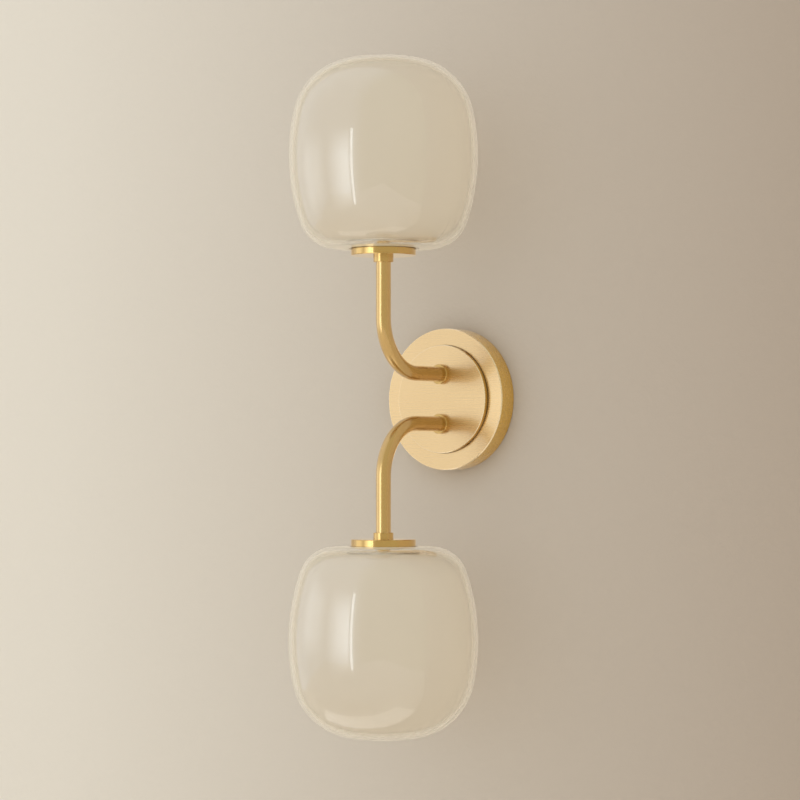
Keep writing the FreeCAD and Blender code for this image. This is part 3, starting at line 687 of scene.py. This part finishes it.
def wall_paint():
    """Matt paint with painted light, lighter near the window, and the faint grain of a roller."""
    finish = Finish("wall_paint", painted_wall_light, wall_roughness)
    x, y, z = finish.place()
    # Painted light: the colour runs from painted shade on the right to painted window light far
    # left.
    across = finish.node("MapRange", None,
                         {"Value": x, "From Min": painted_light_fade[0], "From Max": painted_light_fade[1]})
    window = finish.node("MapRange", None,
                         {"Value": x, "From Min": painted_light_fade[0], "From Max": brightest_x})
    seen = finish.node("LightPath", output="Is Camera Ray").high(
        finish.node("LightPath", output="Is Transmission Ray"))
    paint = finish.mixed(window, finish.tinted(across, painted_wall_shade), (*painted_window_light, 1.0))
    unseen = finish.mixed(finish.node("LightPath", output="Is Glossy Ray"),
                          (*wall_bounce, 1.0), (*wall_mirrored, 1.0))
    finish.wear(colour=finish.mixed(seen, unseen, paint))
    finish.bump(finish.noise(finish.vector(x, y, z), roller_scale, detail=3.0), roller_depth)
    in_hole = 1.0 - (x * x + z * z).root().over(box_hole)
    finish.give_way(in_hole, finish.node("BsdfTransparent"))
    return finish


stage_plane("wall", [(-wall_reach, wall_gap, floor_height), (wall_reach, wall_gap, floor_height),
                     (wall_reach, wall_gap, wall_top), (-wall_reach, wall_gap, wall_top)],
            wall_paint())
stage_plane("floor", [(-wall_reach, -room_depth, floor_height),
                      (wall_reach, -room_depth, floor_height),
                      (wall_reach, wall_gap, floor_height), (-wall_reach, wall_gap, floor_height)],
            Finish("floor_paint", floor_colour, floor_roughness))
print("wall up to", wall_top, "floor at", floor_height)

# %% [markdown]
# ## Lamps
# A tall window stands in front and to the left: its panes fade to the left, and its right edge is
# a thin bright line. Another window stands further round, and a low sill is mirrored in the glass
# from below. Each is a lamp of its own that shows only as a mirrored shape, while one wide lamp
# for the daylight shades what is matt.

# %% Lamps
lamp_distance = 2.3
window_colour, day_colour = (0.84, 0.92, 1.0), (1.0, 0.99, 0.97)
even = ((0.0, 1.0), (1.0, 1.0))
soft = ((0.0, 0.0), (0.3, 1.0), (0.7, 1.0), (1.0, 0.0))
rising = ((0.0, 0.0), (0.3, 0.35), (0.75, 0.9), (1.0, 1.0))


def area_lamp(name, width, height, radiance, colour, mirrored):
    """A rectangular lamp, which is either mirrored in glass and metal or shades what is matt."""
    light = bpy.data.lights.new(name, "AREA")
    light.shape = "RECTANGLE"
    light.size, light.size_y = width, height
    light.energy = radiance * math.pi * width * height
    light.color = colour
    lamp = bpy.data.objects.new(name, light)
    bpy.context.scene.collection.objects.link(lamp)
    lamp.visible_diffuse = not mirrored
    lamp.visible_glossy = mirrored
    lamp.visible_transmission = mirrored
    return lamp


def tall_lamp(name, azimuths, heights, radiance, profile, colour, mirrored=True):
    """A tall lamp between two azimuths, in degrees round from straight out of the wall.

    The profile gives its strength from left to right and from the bottom to the top.
    """
    width = 2 * lamp_distance * math.tan(math.radians(azimuths[1] - azimuths[0]) / 2)
    lamp = area_lamp(name, width, heights[1] - heights[0], radiance, colour, mirrored)
    middle = math.radians(sum(azimuths) / 2)
    aim = Vector((0.0, arm_axis_y, sum(heights) / 2))
    lamp.location = aim + lamp_distance * Vector((math.sin(middle), -math.cos(middle), 0.0))
    lamp.rotation_euler = (aim - lamp.location).to_track_quat("-Z", "Y").to_euler()
    lamp.data.use_nodes = True
    glow = Nodes(lamp.data.node_tree)
    x, y, z = glow.axes(glow.node("NewGeometry", output="Parametric"))
    across = glow.node("ValToRGB", {"stops": profile[0]}, {0: x})
    upward = glow.node("ValToRGB", {"stops": profile[1]}, {0: y})
    glow.feed(glow.tree.nodes["Emission"].inputs["Strength"], across * upward)


tall_lamp("window_panes", azimuths=(-36.0, -4.3), heights=(-0.95, 0.85), radiance=2.1,
          profile=(rising, soft), colour=window_colour)
tall_lamp("window_edge", azimuths=(-2.6, 0.6), heights=(-0.86, 0.83), radiance=3.2,
          profile=(even, even), colour=window_colour)
tall_lamp("side_window", azimuths=(-80.0, -38.0), heights=(-0.60, 0.75), radiance=0.6,
          profile=(soft, soft), colour=window_colour)
tall_lamp("daylight", azimuths=(-50.0, -4.0), heights=(-0.6, 1.2), radiance=0.46,
          profile=(soft, soft), colour=day_colour, mirrored=False)
sill = area_lamp("sill", width=1.5, height=0.42, radiance=0.5, colour=day_colour, mirrored=True)
sill.location = (-0.15, -0.215, -1.05)
sill.rotation_euler = (math.pi, 0.0, 0.0)

# %% [markdown]
# ## Room
# The room lights matt surfaces evenly. Glass and metal mirror a room that is a little dimmer and
# warmer on the right.

# %% Room
room_light = (1.0, 0.975, 0.93, 1.0)
mirrored_left, mirrored_right = (0.93, 0.92, 0.90, 1.0), (0.70, 0.66, 0.50, 1.0)
room_fade = {"From Min": -0.1, "From Max": 0.22}

world = bpy.data.worlds.new("room")
world.use_nodes = True
room = Nodes(world.node_tree)
east = room.axes(room.node("TexCoord", output="Generated"))[0]
dimming = room.node("MapRange", None, {"Value": east, **room_fade})
room_mirrored = room.mixed(dimming, mirrored_left, mirrored_right)
is_mirrored = room.node("LightPath", output="Is Glossy Ray")
background = room.tree.nodes["Background"].inputs
room.feed(background["Color"], room.mixed(is_mirrored, room_light, room_mirrored))
room.feed(background["Strength"], 1.0)
bpy.context.scene.world = world
print("room", world.name)

# %% [markdown]
# ## Camera
# The camera stands at the height of the lamp, about 38 degrees round to the right, with a long
# lens.

# %% Camera
camera_azimuth = math.radians(37.7)
camera_elevation = math.radians(-1.34)
camera_distance = 2.374
camera_target = Vector((-0.0225, -0.050, -0.001))
lens_length, sensor_width = 126.0, 36.0

towards_camera = Vector((math.sin(camera_azimuth) * math.cos(camera_elevation),
                         -math.cos(camera_azimuth) * math.cos(camera_elevation),
                         math.sin(camera_elevation)))
camera_data = bpy.data.cameras.new("camera")
camera_data.sensor_width = sensor_width
camera_data.lens = lens_length
camera = bpy.data.objects.new("camera", camera_data)
bpy.context.scene.collection.objects.link(camera)
camera.location = camera_target + towards_camera * camera_distance
camera.rotation_euler = (-towards_camera).to_track_quat("-Z", "Y").to_euler()
bpy.context.scene.camera = camera
bpy.context.scene.view_settings.view_transform = "Standard"
print("camera at", [round(v, 3) for v in camera.location])
